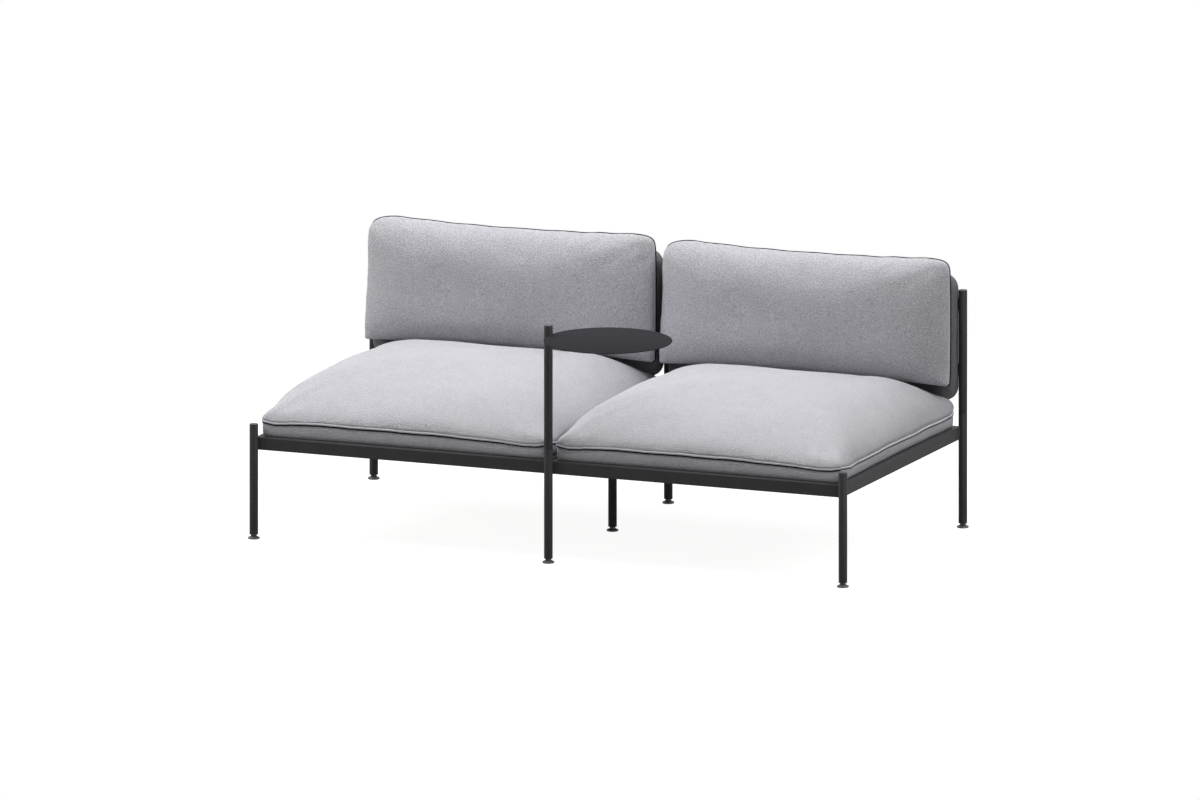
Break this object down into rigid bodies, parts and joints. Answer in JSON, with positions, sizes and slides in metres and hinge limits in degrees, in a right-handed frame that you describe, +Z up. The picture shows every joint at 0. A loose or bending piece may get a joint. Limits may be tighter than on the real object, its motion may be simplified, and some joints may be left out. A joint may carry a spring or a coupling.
{
  "type": "modular sofa",
  "caption": "Low upholstered sofa of seat modules on slim round metal legs, with loose seat and back cushions and a small round side table that swivels on the middle front leg.",
  "frame": {"origin": "on the floor under the middle front leg, whose axis is also the axis that the side table turns about", "axes": "+X to the right as seen from the front, +Y to the back, +Z up"},
  "size_m": [1.63, 0.977, 0.6949],
  "materials": {
    "powder_coat": "near-black satin powder coat on steel",
    "black_plastic": "black moulded plastic",
    "zinc_plate": "zinc-plated steel",
    "black_zinc": "black zinc-plated steel",
    "cast_aluminium": "plain die cast",
    "foot_plastic": "dark grey nylon",
    "birch_ply": "plain birch plywood",
    "grey_wool": "light lilac-grey woven wool upholstery"
  },
  "bodies": {
    "frame": {"leg_front_left": "powder_coat", "leg_front_middle": "powder_coat", "leg_front_right": "powder_coat", "leg_rear_left": "powder_coat", "leg_rear_middle": "powder_coat", "leg_rear_right": "powder_coat", "leg_centre": "powder_coat", "leg_cap_front_left": "black_plastic", "leg_cap_front_right": "black_plastic", "rear_post_left": "powder_coat", "post_spigot_left": "zinc_plate", "post_cap_left": "black_plastic", "rear_post_middle": "powder_coat", "post_spigot_middle": "zinc_plate", "post_cap_middle": "black_plastic", "rear_post_right": "powder_coat", "post_spigot_right": "zinc_plate", "post_cap_right": "black_plastic", "rail_left_front": "powder_coat", "rail_left_right": "powder_coat", "rail_left_rear": "powder_coat", "rail_left_left": "powder_coat", "corner_block_left_front_left": "cast_aluminium", "corner_block_left_front_right": "cast_aluminium", "corner_block_left_rear_right": "cast_aluminium", "corner_block_left_rear_left": "cast_aluminium", "seat_deck_left": "birch_ply", "seat_cushion_left": "grey_wool", "back_panel_left": "grey_wool", "back_cushion_left": "grey_wool", "rail_right_front": "powder_coat", "rail_right_right": "powder_coat", "rail_right_rear": "powder_coat", "rail_right_left": "powder_coat", "corner_block_right_front_left": "cast_aluminium", "corner_block_right_front_right": "cast_aluminium", "corner_block_right_rear_right": "cast_aluminium", "corner_block_right_rear_left": "cast_aluminium", "seat_deck_right": "birch_ply", "seat_cushion_right": "grey_wool", "back_panel_right": "grey_wool", "back_cushion_right": "grey_wool"},
    "table": {"table_post": "powder_coat", "table_spigot": "zinc_plate", "table_cap": "black_plastic", "table_disc": "powder_coat"},
    "foot_pad_body_front_left": {"foot_pad_front_left": "foot_plastic"},
    "foot_stem_body_front_left": {"foot_stem_front_left": "black_zinc"},
    "foot_pad_body_front_middle": {"foot_pad_front_middle": "foot_plastic"},
    "foot_stem_body_front_middle": {"foot_stem_front_middle": "black_zinc"},
    "foot_pad_body_front_right": {"foot_pad_front_right": "foot_plastic"},
    "foot_stem_body_front_right": {"foot_stem_front_right": "black_zinc"},
    "foot_pad_body_rear_left": {"foot_pad_rear_left": "foot_plastic"},
    "foot_stem_body_rear_left": {"foot_stem_rear_left": "black_zinc"},
    "foot_pad_body_rear_middle": {"foot_pad_rear_middle": "foot_plastic"},
    "foot_stem_body_rear_middle": {"foot_stem_rear_middle": "black_zinc"},
    "foot_pad_body_rear_right": {"foot_pad_rear_right": "foot_plastic"},
    "foot_stem_body_rear_right": {"foot_stem_rear_right": "black_zinc"},
    "foot_pad_body_centre": {"foot_pad_centre": "foot_plastic"},
    "foot_stem_body_centre": {"foot_stem_centre": "black_zinc"}
  },
  "joints": [
    {"name": "table_swivel", "type": "hinge", "parent": "frame", "child": "table", "pos_m": [0, 0, 0.2933], "axis": [0, 0, 1], "continuous": true},
    {"name": "foot_height_front_left", "type": "slide", "parent": "frame", "child": "foot_pad_body_front_left", "axis": [0, 0, -1], "range_m": [0, 0.012]},
    {"name": "foot_turn_front_left", "type": "hinge", "parent": "foot_pad_body_front_left", "child": "foot_stem_body_front_left", "pos_m": [-0.8, 0, 0.0065], "axis": [0, 0, -1], "range_deg": [0, 3456]},
    {"name": "foot_height_front_middle", "type": "slide", "parent": "frame", "child": "foot_pad_body_front_middle", "axis": [0, 0, -1], "range_m": [0, 0.012]},
    {"name": "foot_turn_front_middle", "type": "hinge", "parent": "foot_pad_body_front_middle", "child": "foot_stem_body_front_middle", "pos_m": [0, 0, 0.0065], "axis": [0, 0, -1], "range_deg": [0, 3456]},
    {"name": "foot_height_front_right", "type": "slide", "parent": "frame", "child": "foot_pad_body_front_right", "axis": [0, 0, -1], "range_m": [0, 0.012]},
    {"name": "foot_turn_front_right", "type": "hinge", "parent": "foot_pad_body_front_right", "child": "foot_stem_body_front_right", "pos_m": [0.8, 0, 0.0065], "axis": [0, 0, -1], "range_deg": [0, 3456]},
    {"name": "foot_height_rear_left", "type": "slide", "parent": "frame", "child": "foot_pad_body_rear_left", "axis": [0, 0, -1], "range_m": [0, 0.012]},
    {"name": "foot_turn_rear_left", "type": "hinge", "parent": "foot_pad_body_rear_left", "child": "foot_stem_body_rear_left", "pos_m": [-0.8, 0.8, 0.0065], "axis": [0, 0, -1], "range_deg": [0, 3456]},
    {"name": "foot_height_rear_middle", "type": "slide", "parent": "frame", "child": "foot_pad_body_rear_middle", "axis": [0, 0, -1], "range_m": [0, 0.012]},
    {"name": "foot_turn_rear_middle", "type": "hinge", "parent": "foot_pad_body_rear_middle", "child": "foot_stem_body_rear_middle", "pos_m": [0, 0.8, 0.0065], "axis": [0, 0, -1], "range_deg": [0, 3456]},
    {"name": "foot_height_rear_right", "type": "slide", "parent": "frame", "child": "foot_pad_body_rear_right", "axis": [0, 0, -1], "range_m": [0, 0.012]},
    {"name": "foot_turn_rear_right", "type": "hinge", "parent": "foot_pad_body_rear_right", "child": "foot_stem_body_rear_right", "pos_m": [0.8, 0.8, 0.0065], "axis": [0, 0, -1], "range_deg": [0, 3456]},
    {"name": "foot_height_centre", "type": "slide", "parent": "frame", "child": "foot_pad_body_centre", "axis": [0, 0, -1], "range_m": [0, 0.012]},
    {"name": "foot_turn_centre", "type": "hinge", "parent": "foot_pad_body_centre", "child": "foot_stem_body_centre", "pos_m": [0, 0.428, 0.0065], "axis": [0, 0, -1], "range_deg": [0, 3456]}
  ],
  "couplings": [
    {"joint": "foot_turn_front_left", "follows": "foot_height_front_left", "rad_per_m": 5026.5},
    {"joint": "foot_turn_front_middle", "follows": "foot_height_front_middle", "rad_per_m": 5026.5},
    {"joint": "foot_turn_front_right", "follows": "foot_height_front_right", "rad_per_m": 5026.5},
    {"joint": "foot_turn_rear_left", "follows": "foot_height_rear_left", "rad_per_m": 5026.5},
    {"joint": "foot_turn_rear_middle", "follows": "foot_height_rear_middle", "rad_per_m": 5026.5},
    {"joint": "foot_turn_rear_right", "follows": "foot_height_rear_right", "rad_per_m": 5026.5},
    {"joint": "foot_turn_centre", "follows": "foot_height_centre", "rad_per_m": 5026.5}
  ]
}
